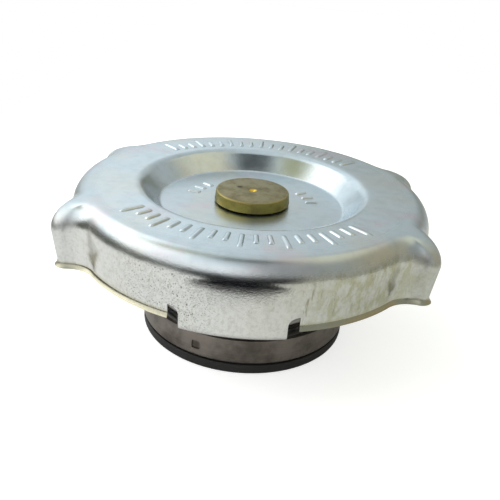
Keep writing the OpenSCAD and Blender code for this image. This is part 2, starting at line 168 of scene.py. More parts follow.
def lobe(angle, r_before, r_after):
    """One lobe: hollow blend out of an arc, round tip, hollow blend into the next arc."""
    axis, tip = np.zeros(2), polar(LOBE_CENTRE_R, angle)
    before = polar(r_before + LOBE_BLEND_R, angle - blend_angle(r_before))
    after = polar(r_after + LOBE_BLEND_R, angle + blend_angle(r_after))
    rise, tip_from, fall = bearing(before, axis), bearing(tip, before), bearing(after, tip)
    tip_turn = (bearing(tip, after) - tip_from) % (2 * math.pi)
    return np.vstack([
        arc(before, LOBE_BLEND_R, rise, half_turn(bearing(before, tip) - rise), BLEND_STEPS, -1),
        arc(tip, LOBE_TIP_R, tip_from, tip_turn, TIP_STEPS),
        arc(after, LOBE_BLEND_R, fall, half_turn(bearing(after, axis) - fall), BLEND_STEPS, -1)])


def long_arc(angle):
    """A long arc with its lug in the middle. The lug's section ends inside the notch that trims it."""
    end = math.pi / 2 - LOBE_ANGLE - blend_angle(MAIN_R)
    lug_edge = math.asin(LUG_W / 2 / MAIN_R)
    notch_edge = math.asin((LUG_W / 2 + NOTCH_W) / MAIN_R)
    lug_end, lip_start = lug_edge + np.array([LUG_RUN, LIP_RUN]) * (notch_edge - lug_edge)
    centre = np.zeros(2)
    return np.vstack([
        arc(centre, MAIN_R, angle - end, end - lip_start, MAIN_STEPS),
        arc(centre, MAIN_R, angle - lip_start, 0, 1),
        arc(centre, MAIN_R, angle - lug_end, 2 * lug_end, LUG_STEPS, 1, 1),
        arc(centre, MAIN_R, angle + lug_end, 0, 1, 1, 1),
        arc(centre, MAIN_R, angle + lip_start, end - lip_start, MAIN_STEPS)])


def short_arc(angle):
    """A short arc between the blends of two lobes."""
    end = LOBE_ANGLE - blend_angle(SIDE_R)
    return arc(np.zeros(2), SIDE_R, angle - end, 2 * end, SIDE_STEPS)


half = np.vstack([short_arc(0), lobe(LOBE_ANGLE, SIDE_R, MAIN_R), long_arc(math.pi / 2),
                  lobe(math.pi - LOBE_ANGLE, MAIN_R, SIDE_R)])
turned = half * [-1, -1, -1, -1, 1]
outline = np.vstack([half, turned])
print("outline has", len(outline), "stations")

# %% [markdown]
# ## The section of the sheet
# Rows of points follow the sheet from the rivet's bore, up the recess, over the plateau and shoulder,
# down the skirt, round its trimmed edge, and back along the underside. A lug turns in under the neck's
# flange instead of ending at the flared edge, so its rows take another path with as many points.

# %% Sweep the section round the outline
SHEET = 1.0
SHOULDER_W, SHOULDER_H, LOBE_FALL = 2.8, 4.4, 0.9
LUG_DROP, LUG_DEPTH, LUG_BEND_R = 2.4, 4.5, 1.6
PLATEAU_Z, LUG_Z = shell_high[2], shell_low[2]
SKIRT_Z = LUG_Z + LUG_DROP
PLATEAU_R = MAIN_R - SHOULDER_W
SKIRT_DRAFT, LIP_FLARE, LIP_H, LIP_ROUND = 0.8, 0.5, 1.1, 0.12
BORE_R, RECESS_FLOOR_R, RECESS_DEPTH = 3.25, 17.2, 3.8
RECESS_FOOT_R, RECESS_LIP_R, RECESS_ANGLE = 0.9, 2.6, math.radians(47)
FLOOR_Z = PLATEAU_Z - RECESS_DEPTH
# Points along each part of the section, on the upper face and on the underside
FLOOR_ROWS, PLATEAU_ROWS, SKIRT_ROWS, FOOT_ROWS = 5, 7, 5, 7
BEND_ROWS, BEND_ROWS_UNDER = 9, 5
SHOULDER_ROWS, SHOULDER_ROWS_UNDER = 15, 9


def recess_radius():
    """Radius of the recess at the plateau: the two bends and the sloping wall between them, end to end."""
    bends_r = RECESS_FOOT_R + RECESS_LIP_R
    wall_run = (RECESS_DEPTH - bends_r * (1 - math.cos(RECESS_ANGLE))) / math.sin(RECESS_ANGLE)
    return RECESS_FLOOR_R + bends_r * math.sin(RECESS_ANGLE) + wall_run * math.cos(RECESS_ANGLE)


RECESS_R = recess_radius()


def rows_at(radius, height, unit):
    """Rows of points at given radii and heights, along the outline's own directions from the axis."""
    flat = np.asarray(radius)[..., None] * unit
    rise = np.broadcast_to(np.asarray(height)[..., None], flat.shape[:-1] + (1,))
    return np.concatenate([flat, rise], axis=-1)


def recess_rows(depth, steps, unit):
    """Floor, foot bend and lip bend of the recess, a depth below the sheet's upper face."""
    turn = np.linspace(0, RECESS_ANGLE, steps)
    floor_r = np.linspace(BORE_R, RECESS_FLOOR_R, FLOOR_ROWS + 1)[:-1]
    floor = np.stack([floor_r, np.full(FLOOR_ROWS, FLOOR_Z - depth)], axis=-1)
    foot = [RECESS_FLOOR_R, FLOOR_Z + RECESS_FOOT_R] + polar(RECESS_FOOT_R + depth, turn - math.pi / 2)
    lip_turn = math.pi / 2 + RECESS_ANGLE - turn
    lip = [RECESS_R, PLATEAU_Z - RECESS_LIP_R] + polar(RECESS_LIP_R - depth, lip_turn)
    profile = np.vstack([floor, foot, lip])
    return rows_at(profile[:, :1], profile[:, 1:], unit[None])


def shoulder_rows(point, edge, fall, drop, steps):
    """A quarter ellipse from the plateau's edge out and down to the skirt."""
    turn = np.linspace(0, math.pi / 2, steps)[:, None]
    flat = edge + (point - edge) * np.sin(turn)[..., None]
    rise = PLATEAU_Z - drop - (fall - drop) * (1 - np.cos(turn))
    return np.concatenate([flat, np.broadcast_to(rise[..., None], flat.shape[:-1] + (1,))], axis=-1)


def foot_profile(steps):
    """Distance outward and height of the lower edge: once for the flared lip, once for a lug."""
    run = np.linspace(0, 1, steps)
    lip = np.stack([LIP_FLARE * run ** 2, SKIRT_Z + LIP_H * (1 - run)], axis=-1)
    rim = np.array([[LIP_FLARE - SHEET * share, SKIRT_Z - LIP_ROUND] for share in (0.25, 0.75)])
    lip_path = np.vstack([lip, rim, (lip - [SHEET, 0])[::-1]]) - [SKIRT_DRAFT, 0]
    turn = run * math.pi / 2
    bend_centre = [-LUG_BEND_R, LUG_Z + LUG_BEND_R]
    outside = bend_centre + polar(LUG_BEND_R, -turn)
    inside = bend_centre + polar(LUG_BEND_R - SHEET, -turn)
    foot = np.array([[-LUG_DEPTH, LUG_Z], [-LUG_DEPTH, LUG_Z + SHEET]])
    return lip_path, np.vstack([outside, foot, inside[::-1]]) - [SKIRT_DRAFT, 0]


def sweep_cover():
    """The closed sheet, as rows of points: upper face out to the edge, then back along the underside."""
    point, normal, on_lug = outline[:, :2], outline[:, 2:4], outline[:, 4:] > 0
    radius = np.linalg.norm(point, axis=1)
    unit = point / radius[:, None]
    past_main = np.maximum(radius - MAIN_R, 0)
    fall = SHOULDER_H + LOBE_FALL * past_main / past_main.max()
    edge, inner = unit * PLATEAU_R, point - normal * SHEET
    plateau_r = np.linspace(RECESS_R, PLATEAU_R, PLATEAU_ROWS + 2)[1:-1, None]
    plateau = rows_at(plateau_r, np.full((PLATEAU_ROWS, 1), PLATEAU_Z), unit[None])
    lip_path, lug_path = foot_profile(FOOT_ROWS)
    distance = np.where(on_lug.T, lug_path[:, :1], lip_path[:, :1])
    height = np.where(on_lug.T, lug_path[:, 1:], lip_path[:, 1:])
    foot = np.concatenate([point + normal * distance[..., None], height[..., None]], axis=-1)
    outside = shoulder_rows(point, edge, fall, 0, SHOULDER_ROWS)
    inside = shoulder_rows(inner, edge, fall, SHEET, SHOULDER_ROWS_UNDER)[::-1]
    share = np.linspace(0, 1, SKIRT_ROWS + 2)[1:-1, None, None]
    skirt = outside[-1] + (foot[0] - outside[-1]) * share
    return np.concatenate([recess_rows(0, BEND_ROWS, unit), plateau, outside, skirt, foot, inside,
                           recess_rows(SHEET, BEND_ROWS_UNDER, unit)[::-1]])


cover_rows = sweep_cover()
cover_quads = grid_quads(*cover_rows.shape[:2], wrap_rows=True)
print("cover rows and stations:", cover_rows.shape[:2])

# %% [markdown]
# ## Notches beside the lugs
# The trimming die nicks the skirt on both sides of each lug, so that the lug can turn in. A nick has a
# round corner next to the lug. It is cut with a Boolean, because its edge crosses the grid.

# %% Cut the notches
NOTCH_RISE, NOTCH_CORNER_R = 2.3, 1.4
CUT_PAST = 1.0


def notch_cutter():
    """Four prisms: the notch's outline, away from the lug and up, carried in through the skirt."""
    turn = np.linspace(math.pi, math.pi / 2, 9)
    top, low = SKIRT_Z + NOTCH_RISE, LUG_Z - CUT_PAST
    corner = [NOTCH_CORNER_R, top - NOTCH_CORNER_R] + polar(NOTCH_CORNER_R, turn)
    shape = np.vstack([[[0, low]], corner, [[NOTCH_W, top], [NOTCH_W, low]]])
    deep = np.array([MAIN_R + CUT_PAST, MAIN_R - SKIRT_DRAFT - LUG_DEPTH - 3 * CUT_PAST])
    x = np.broadcast_to(shape[None, :, 0] + LUG_W / 2, (2, len(shape)))
    y = np.broadcast_to(deep[:, None], x.shape)
    z = np.broadcast_to(shape[None, :, 1], x.shape)
    prism = np.stack([x, y, z], axis=-1).reshape(-1, 3)
    count = len(shape)
    sides = grid_quads(2, count).tolist()
    ends = [list(range(count)), list(range(count, 2 * count))]
    mirrors = [[1, 1, 1], [-1, 1, 1], [1, -1, 1], [-1, -1, 1]]
    points = np.vstack([prism * flip for flip in mirrors])
    faces = [[index + 2 * count * i for index in face] for i in range(4) for face in sides + ends]
    return points, faces


cutter_points, cutter_faces = notch_cutter()
cutter_mesh = bpy.data.meshes.new("notch_cutter")
cutter_mesh.from_pydata(cutter_points * MM, [], cutter_faces)
finish_mesh(cutter_mesh)
cutter = bpy.data.objects.new("notch_cutter", cutter_mesh)
bpy.context.scene.collection.objects.link(cutter)
cover = make_piece("pressed_cover", cover_rows, cover_quads, "shell", "zinc_plated_steel", ["cap_shell"])
cut = cover.modifiers.new("notches", "BOOLEAN")
cut.object = cutter
cut.solver = "EXACT"
bpy.context.view_layer.update()
trimmed = bpy.data.meshes.new_from_object(cover.evaluated_get(bpy.context.evaluated_depsgraph_get()))
cover.modifiers.clear()
cover.data = trimmed
trimmed.name = "pressed_cover"
trimmed.set_sharp_from_angle(angle=CRISP_ANGLE)
bpy.data.objects.remove(cutter)
print("trimmed cover has", len(trimmed.polygons), "faces")

# %% [markdown]
# ## Stamped ticks
# The plateau carries rows of short raised strokes that catch the light. They are a plain graduation:
# equal strokes at equal steps, some long and some short. Each stroke is a low rounded ridge, and all of
# them are one array, turned to their places.

# %% Raise the ticks
TICK_H, TICK_W, TICK_SINK = 0.3, 0.95, 0.03
TICK_STEP, FLOOR_STEP = math.radians(5.2), math.radians(12)
FLOOR_GROUPS = np.radians([25, 155])
# Middle radius and length of the long, the short and the floor's ticks
LONG_TICK, SHORT_TICK, FLOOR_TICK = (26.0, 4.8), (25.2, 3.2), (11.8, 2.6)


def ridge(length, width, rows=15, columns=9):
    """A low ridge: height falls as a fourth power across it and an eighth power along it."""
    along, across = np.meshgrid(np.linspace(-1, 1, rows), np.linspace(-1, 1, columns), indexing="ij")
    high = TICK_H * (1 - across ** 4) * (1 - along ** 8) - TICK_SINK
    return np.stack([along * length / 2, across * width / 2, high], axis=-1)


def spread_ridges(angles, radius, length, height):
    """Copies of one radial ridge, one at each angle."""
    shape = ridge(length, TICK_W)
    x, y = shape[..., 0] + radius, shape[..., 1]
    turn = np.asarray(angles)[:, None, None]
    return np.stack([x * np.cos(turn) - y * np.sin(turn), x * np.sin(turn) + y * np.cos(turn),
                     np.broadcast_to(shape[..., 2] + height, turn.shape[:1] + x.shape)], axis=-1)


arc_ticks = np.arange(-9, 10)
front_and_back = np.array([-math.pi / 2, math.pi / 2])[:, None]
long_ones = (front_and_back + arc_ticks[arc_ticks % 3 == 0] * TICK_STEP).ravel()
short_ones = (front_and_back + arc_ticks[arc_ticks % 3 != 0] * TICK_STEP).ravel()
floor_ones = (FLOOR_GROUPS[:, None] + np.arange(-1, 2) * FLOOR_STEP).ravel()
ticks = np.concatenate([spread_ridges(long_ones, *LONG_TICK, PLATEAU_Z),
                        spread_ridges(short_ones, *SHORT_TICK, PLATEAU_Z),
                        spread_ridges(floor_ones, *FLOOR_TICK, FLOOR_Z)])
one = grid_quads(*ticks.shape[1:3], wrap_columns=False)
per_tick = ticks.shape[1] * ticks.shape[2]
tick_quads = (one[None] + per_tick * np.arange(len(ticks))[:, None, None]).reshape(-1, 4)
stamped = make_piece("stamped_ticks", ticks, tick_quads, "shell", "zinc_plated_steel")

# %% [markdown]
# ## Turned and moulded rings
# The rivet and the seal are bodies of revolution. Their profile is a short list of corners. Each corner
# is rounded by its own radius, and the profile is then spun round the axis.

# %% Spin a rounded profile
SPIN_STEPS = 160
CORNER_STEPS = 6


def rounded(corners):
    """Replace each corner (radius, height, rounding) by an arc that is tangent to its two sides."""
    corners = np.array(corners, float)
    spots, radii = corners[:, :2], corners[:, 2]
    path = []
    for before, spot, after, radius in zip(np.roll(spots, 1, 0), spots, np.roll(spots, -1, 0), radii):
        if radius == 0:
            path.append(spot[None])
            continue
        a, b = before - spot, after - spot
        a, b = a / np.linalg.norm(a), b / np.linalg.norm(b)
        half_angle = math.acos(np.clip(a @ b, -1, 1)) / 2
        middle = (a + b) / np.linalg.norm(a + b)
        centre = spot + middle * radius / math.sin(half_angle)
        reach = radius / math.tan(half_angle)
        first, last = spot + a * reach - centre, spot + b * reach - centre
        start = math.atan2(first[1], first[0])
        sweep = half_turn(math.atan2(last[1], last[0]) - start)
        path.append(centre + polar(radius, start + sweep * np.linspace(0, 1, CORNER_STEPS)))
    return np.vstack(path)


def spin(profile, steps=SPIN_STEPS):
    """A closed profile of (radius, height) points, carried once round the axis."""
    turn = np.linspace(0, 2 * math.pi, steps, endpoint=False)
    unit = polar(1, turn)
    return rows_at(profile[:, :1], profile[:, 1:], unit[None])


def spun_piece(name, corners, body, slot, node):
    """A turned or moulded ring that stands for one CAD node."""
    rows = spin(rounded(corners))
    return make_piece(name, rows, grid_quads(*rows.shape[:2], wrap_rows=True), body, slot, [node])


square = rounded([(1, 0, 0.2), (2, 0, 0.2), (2, 1, 0.2), (1, 1, 0.2)])
print("a square with four rounded corners has", len(square), "points")

# %% [markdown]
# ## The brass button
# The rivet's head is a turned brass button with soft edges and a punch mark in the middle. Below the
# cover its shank clamps the diaphragm, the spring seat and the bell, and its tail is hammered over.

# %% Turn the rivet
rivet_low, rivet_high = [np.array(corner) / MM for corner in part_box("centre_rivet")]
HEAD_R, HEAD_TOP = rivet_high[0], rivet_high[2]
HEAD_T, HEAD_TAPER = 2.1, 0.25
HEAD_Z = HEAD_TOP - HEAD_T
SHOULDER_STEP_R, SHANK_R, TAIL_R, TAIL_T = 3.2, 2.0, 3.4, 1.0
DIMPLE_R, DIMPLE_FOOT_R, DIMPLE_DEPTH = 0.9, 0.25, 0.4
slip_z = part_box("diaphragm")[1].z / MM
tail_z = rivet_low[2]
rivet_corners = [
    (0, tail_z, 0), (TAIL_R, tail_z, 0.45), (TAIL_R, tail_z + TAIL_T, 0.12), (SHANK_R, tail_z + TAIL_T, 0),
    (SHANK_R, slip_z, 0), (SHOULDER_STEP_R, slip_z, 0.08), (SHOULDER_STEP_R, HEAD_Z, 0),
    (HEAD_R, HEAD_Z, 0.22), (HEAD_R - HEAD_TAPER, HEAD_TOP, 0.3), (DIMPLE_R, HEAD_TOP, 0.1),
    (DIMPLE_FOOT_R, HEAD_TOP - DIMPLE_DEPTH, 0.1), (0, HEAD_TOP - DIMPLE_DEPTH, 0)]
button = spun_piece("brass_button", rivet_corners, "core", "aged_brass", "centre_rivet")

# %% [markdown]
# ## The rubber seal
# The pressure seal is a moulded rubber ring under the cup. Its lower edge is well rounded, and it
# stands a little inside the cup, so a dark line separates the two.

# %% Mould the seal
seal_low, seal_high = [np.array(corner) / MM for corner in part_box("pressure_gasket")]
SEAL_R, SEAL_TOP = seal_high[0], seal_high[2]
SEAL_BORE_R, SEAL_LAND_R, SEAL_LAND_T = 7.13, 10.9, 0.5
SEAL_LAND_Z = SEAL_TOP - SEAL_LAND_T
seal_corners = [
    (SEAL_BORE_R, SEAL_LAND_Z, 0), (SEAL_LAND_R, SEAL_LAND_Z, 0.1), (SEAL_LAND_R, 0, 0.25),
    (SEAL_R, 0, 0.8), (SEAL_R, SEAL_TOP, 0.15), (SEAL_BORE_R, SEAL_TOP, 0)]
seal = spun_piece("rubber_seal", seal_corners, "valve", "black_rubber", "pressure_gasket")

# %% [markdown]
# ## Springs
# Round wire follows a helix whose pitch drops to one wire at each end, so the end turns lie closed. A
# spring shortens as the valve lifts; here each one rides on one body, with a mesh of its own.

# %% Wind the springs
WIRE_SIDES = 14
TURN_STEPS = 48
CLOSED_PITCH = 1.03


def wind(radius, wire, turns, low, high):
    """A tube round a helix: angle grows evenly, and height follows the pitch, turn by turn."""
    turn = np.linspace(0, turns, int(turns * TURN_STEPS) + 1)
    closed = wire * CLOSED_PITCH
    bottom, top = low + wire / 2, high - wire / 2
    height = np.interp(turn, [0, 1, turns - 1, turns], [bottom, bottom + closed, top - closed, top])
    side = np.linspace(0, 2 * math.pi, WIRE_SIDES, endpoint=False)
    reach = radius + wire / 2 * np.cos(side)[None]
    angle = 2 * math.pi * turn[:, None]
    tube = np.stack([reach * np.cos(angle), reach * np.sin(angle),
                     height[:, None] + wire / 2 * np.sin(side)[None]], axis=-1)
    middle = tube.mean(axis=1, keepdims=True)
    shut = np.broadcast_to(middle[[0, -1]], (2,) + tube.shape[1:])
    return np.concatenate([shut[:1], tube, shut[1:]])


def spring_piece(name, node, body, wire, turns):
    """A spring in the place of its CAD node, on one body and with a mesh of its own."""
    low, high = [np.array(corner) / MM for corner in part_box(node)]
    rows = wind(high[0] - wire / 2, wire, turns, low[2], high[2])
    piece = make_piece(name, rows, grid_quads(*rows.shape[:2]), body, "spring_steel", [node])
    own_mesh(piece)
    return piece


lift_spring = spring_piece("lift_spring", "pressure_spring", "core", 2.2, 5)
vent_spring = spring_piece("vent_spring", "vacuum_spring", "valve", 0.5, 5)

# %% [markdown]
# ## Finishes
# Every finish starts from what the material is and how its surface was made. Colours are written as
# sRGB hex and turned to linear light once. Patterns read Object coordinates in metres, so a pattern of
# s millimetres has a scale of 1000 / s. One function adds a node, sets it and links it.

# %% Node and colour helpers
SMOOTH = {"interpolation_type": "SMOOTHSTEP"}
TIMES, PLUS, LESS = {"operation": "MULTIPLY"}, {"operation": "ADD"}, {"operation": "SUBTRACT"}
LARGER, TIMES_PLUS = {"operation": "MAXIMUM"}, {"operation": "MULTIPLY_ADD"}
SIZE_ONLY = {"operation": "ABSOLUTE"}
DENTED = {"invert": True}


def srgb(code):
    """A hex colour as linear red, green, blue and alpha."""
    parts = np.array([int(code[i:i + 2], 16) for i in (1, 3, 5)]) / 255
    linear = np.where(parts <= 0.04045, parts / 12.92, ((parts + 0.055) / 1.055) ** 2.4)
    return (*linear, 1)


def per_mm(size):
    """The pattern scale that gives features of a size in millimetres."""
    return 1 / (size * MM)


def add(tree, kind, settings=(), out=0, **inputs):
    """Add a node, set it, and set or link its inputs; _ stands for a space, and n0 for input 0."""
    node = tree.nodes.new("ShaderNode" + kind)
    for key, value in dict(settings).items():
        setattr(node, key, value)
    for key, value in inputs.items():
        socket = node.inputs[int(key[1:])] if key[1:].isdigit() else node.inputs[key.replace("_", " ")]
        if isinstance(value, bpy.types.NodeSocket):
            tree.links.new(value, socket)
        else:
            socket.default_value = value
    return node.outputs[out] if len(node.outputs) else node


def new_material(name):
    """An empty material, its tree, and its Object coordinates."""
    material = bpy.data.materials.new(name)
    material.use_nodes = True
    tree = material.node_tree
    tree.nodes.clear()
    return material, tree, add(tree, "TexCoord", out="Object")


def near(tree, place, centre, reach):
    """1 at a spot given in millimetres, fading to 0 at its reach."""
    gap = add(tree, "VectorMath", {"operation": "DISTANCE"}, "Value", n0=place, n1=Vector(centre) * MM)
    return add(tree, "MapRange", SMOOTH, Value=gap, From_Min=reach * MM, From_Max=0.25 * reach * MM)


def height_and_radius(tree, place):
    """Height above the floor and distance from the axis, in metres."""
    level = add(tree, "VectorMath", TIMES, n0=place, n1=(1, 1, 0))
    radius = add(tree, "VectorMath", {"operation": "LENGTH"}, "Value", n0=level)
    return add(tree, "SeparateXYZ", out="Z", Vector=place), radius


print("mid grey in linear light:", round(float(srgb("#808080")[0]), 3))

# %% [markdown]
# ### Zinc plate on pressed steel
# Bright zinc with a clear passivation is a bluish silver that drifts to straw and a little pink, because
# the passivation film is as thin as a soap film. The flat plateau keeps the rolled sheet's even sheen.
# The drawn skirt is duller: the die has scored it, and fine pits show where the plate was thin. On the
# right-front shoulder the film is streaked olive, and that olive is spread wide as painted shade on the
# right. The film dries to straw along the flared lip, and the bend at the top and the handled lobes are
# more satin than the rest.

# %% Zinc-plated steel
# Places in millimetres: worn pits beside a notch, olive streaks and painted shade on a shoulder, and tool
# scores
PITTED_SPOT, PITTED_REACH = (-12, -30, 20), 14
OLIVE_SHADE_SPOT, OLIVE_SHADE_REACH = (21, -25, 24), 17
SCORED_SPOT, SCORED_REACH = (12.5, -30, 22), 6


def zinc_tint(tree, place, drawn):
    """Plate colour: blue-grey clouded with straw and pink, paler on the drawn skirt, olive streaks and
    painted shade on one shoulder.
    """
    cloud = add(tree, "TexNoise", Vector=place, Scale=per_mm(13), Detail=2.0, Roughness=0.5)
    blush = add(tree, "TexNoise", Vector=place, Scale=per_mm(9), Detail=3.0, Roughness=0.55)
    straw = add(tree, "MapRange", SMOOTH, Value=cloud, From_Min=0.45, From_Max=0.7, To_Max=0.55)
    tint = add(tree, "MixRGB", Fac=straw, Color1=srgb("#CFDAE0"), Color2=srgb("#D7D5CB"))
    pink = add(tree, "MapRange", SMOOTH, Value=blush, From_Min=0.52, From_Max=0.75, To_Max=0.6)
    tint = add(tree, "MixRGB", Fac=pink, Color1=tint, Color2=srgb("#D9C9D0"))
    smear = add(tree, "TexNoise", Vector=place, Scale=per_mm(2.4), Detail=5.0, Roughness=0.65)
    smear = add(tree, "MapRange", SMOOTH, Value=smear, From_Min=0.4, From_Max=0.75, To_Max=0.35)
    tint = add(tree, "MixRGB", Fac=smear, Color1=tint, Color2=srgb("#B3BCC0"))
    pale = add(tree, "Math", TIMES, n0=drawn, n1=0.75)
    tint = add(tree, "MixRGB", Fac=pale, Color1=tint, Color2=srgb("#DCDAD6"))
    # Olive streaks round the right-front shoulder, spread wide so that they also paint shade on the right
    upright = add(tree, "VectorMath", TIMES, n0=place, n1=(1, 1, 0.5))
    streak = add(tree, "TexNoise", Vector=upright, Scale=per_mm(1.8), Detail=5.0, Roughness=0.68)
    olive = add(tree, "MapRange", SMOOTH, Value=streak, From_Min=0.38, From_Max=0.62, To_Max=0.9)
    olive = add(tree, "Math", TIMES, n0=olive, n1=near(tree, place, OLIVE_SHADE_SPOT, OLIVE_SHADE_REACH))
    olive = add(tree, "Math", TIMES, n0=olive, n1=drawn)
    tint = add(tree, "MixRGB", Fac=olive, Color1=tint, Color2=srgb("#B9B798"))
    mottle = add(tree, "TexNoise", Vector=place, Scale=per_mm(0.8), Detail=4.0, Roughness=0.7)
    mottle = add(tree, "MapRange", SMOOTH, Value=mottle, From_Min=0.42, From_Max=0.72, To_Max=0.4)
    mottle = add(tree, "Math", TIMES, n0=mottle, n1=drawn)
    return add(tree, "MixRGB", Fac=mottle, Color1=tint, Color2=srgb("#A8A89F"))


def zinc_pits(tree, place, drawn):
    """Fine pits on the drawn metal, crowded beside the notch and in scattered clusters."""
    grain = add(tree, "TexNoise", Vector=place, Scale=per_mm(0.24), Detail=2.0, Roughness=0.6)
    cluster = add(tree, "TexNoise", Vector=place, Scale=per_mm(6.5), Detail=2.0)
    crowd = add(tree, "MapRange", SMOOTH, Value=cluster, From_Min=0.52, From_Max=0.75, To_Max=0.6)
    crowd = add(tree, "Math", LARGER, n0=crowd, n1=near(tree, place, PITTED_SPOT, PITTED_REACH))
    crowd = add(tree, "Math", TIMES, n0=crowd, n1=drawn)
    pits = add(tree, "MapRange", SMOOTH, Value=grain, From_Min=0.56, From_Max=0.7)
    return add(tree, "Math", TIMES, n0=pits, n1=crowd)


def zinc_scores(tree, place, drawn):
    """Fine upright scratches from the die, strongest at one place."""
    upright = add(tree, "VectorMath", TIMES, n0=place, n1=(1, 1, 0.04))
    score = add(tree, "TexNoise", Vector=upright, Scale=per_mm(0.5), Detail=2.0)
    score = add(tree, "MapRange", SMOOTH, Value=score, From_Min=0.58, From_Max=0.72)
    here = add(tree, "Math", TIMES_PLUS, n0=near(tree, place, SCORED_SPOT, SCORED_REACH), n1=0.8, n2=0.2)
    here = add(tree, "Math", TIMES, n0=here, n1=drawn)
    return add(tree, "Math", TIMES, n0=score, n1=here)


def zinc_edge(tree, place, z):
    """1 on the flared lip beside the lugs, where the passivation gathers and dries to straw."""
    lip = add(tree, "MapRange", SMOOTH, Value=z, From_Min=(SKIRT_Z + 1.4) * MM,
              From_Max=(SKIRT_Z + 0.6) * MM)
    across = add(tree, "SeparateXYZ", out="X", Vector=place)
    across = add(tree, "Math", SIZE_ONLY, n0=across)
    beside = add(tree, "MapRange", SMOOTH, Value=across, From_Min=9 * MM, From_Max=10 * MM, To_Max=0.85)
    return add(tree, "Math", TIMES, n0=lip, n1=beside)


def zinc_plate():
    """The plate: tint, pits, scores and edge as colour, haze as roughness, and the marks again as bump."""
    material, tree, place = new_material("zinc_plated_pressed_steel")
    z, radius = height_and_radius(tree, place)
    low = add(tree, "MapRange", SMOOTH, Value=z, From_Min=(PLATEAU_Z - 0.8) * MM,
              From_Max=(PLATEAU_Z - SHOULDER_H) * MM)
    outer = add(tree, "MapRange", SMOOTH, Value=radius, From_Min=28 * MM, From_Max=30 * MM)
    drawn = add(tree, "Math", TIMES, n0=low, n1=outer)
    pits, scores = zinc_pits(tree, place, drawn), zinc_scores(tree, place, drawn)
    tint = zinc_tint(tree, place, drawn)
    tint = add(tree, "MixRGB", Fac=pits, Color1=tint, Color2=srgb("#5F5B50"))
    tint = add(tree, "MixRGB", Fac=scores, Color1=tint, Color2=srgb("#A9A698"))
    tint = add(tree, "MixRGB", Fac=zinc_edge(tree, place, z), Color1=tint, Color2=srgb("#B4B098"))
    haze = add(tree, "TexNoise", Vector=place, Scale=per_mm(4), Detail=4.0, Roughness=0.6)
    rough = add(tree, "Math", TIMES_PLUS, n0=drawn, n1=-0.015, n2=0.14)
    rough = add(tree, "Math", TIMES_PLUS, n0=haze, n1=0.12, n2=rough)
    inner = add(tree, "MapRange", SMOOTH, Value=radius, From_Min=19 * MM, From_Max=17 * MM, To_Max=0.1)
    rough = add(tree, "Math", PLUS, n0=rough, n1=inner)
    handled = add(tree, "MapRange", SMOOTH, Value=radius, From_Min=33.4 * MM, From_Max=34.8 * MM,
                  To_Max=0.18)
    rough = add(tree, "Math", PLUS, n0=rough, n1=handled)
    bend = add(tree, "Math", LESS, n0=outer, n1=drawn)
    rough = add(tree, "Math", TIMES_PLUS, n0=bend, n1=0.12, n2=rough)
    grain = add(tree, "TexNoise", Vector=place, Scale=per_mm(0.34), Detail=2.0, Roughness=0.65)
    wave = add(tree, "TexNoise", Vector=place, Scale=per_mm(4.5), Detail=1.0)
    wave = add(tree, "Math", TIMES, n0=wave, n1=drawn)
    bump = add(tree, "Bump", Strength=0.5, Distance=0.12 * MM, Height=wave)
    bump = add(tree, "Bump", Strength=0.8, Distance=0.016 * MM, Height=grain, Normal=bump)
    bump = add(tree, "Bump", DENTED, Strength=0.5, Distance=0.02 * MM, Height=pits, Normal=bump)
    bump = add(tree, "Bump", DENTED, Strength=0.4, Distance=0.02 * MM, Height=scores, Normal=bump)
    surface = add(tree, "BsdfPrincipled", Base_Color=tint, Metallic=1.0, Roughness=rough, Normal=bump)
    add(tree, "OutputMaterial", Surface=surface)
    return material


zinc = zinc_plate()
print(zinc.name, "has", len(zinc.node_tree.nodes), "nodes")

# %% [markdown]
# ### Brass with a patina
# Handled brass dulls to an olive brown, and stays brighter where fingers rub its edge. The punch mark is
# painted bright gold, as bared new metal and a painted glint. A short dark score lies beside the punch
# mark.

# %% Aged brass
NICK_SPOT, NICK_REACH = (-2.6, 1.2, HEAD_TOP), 0.8


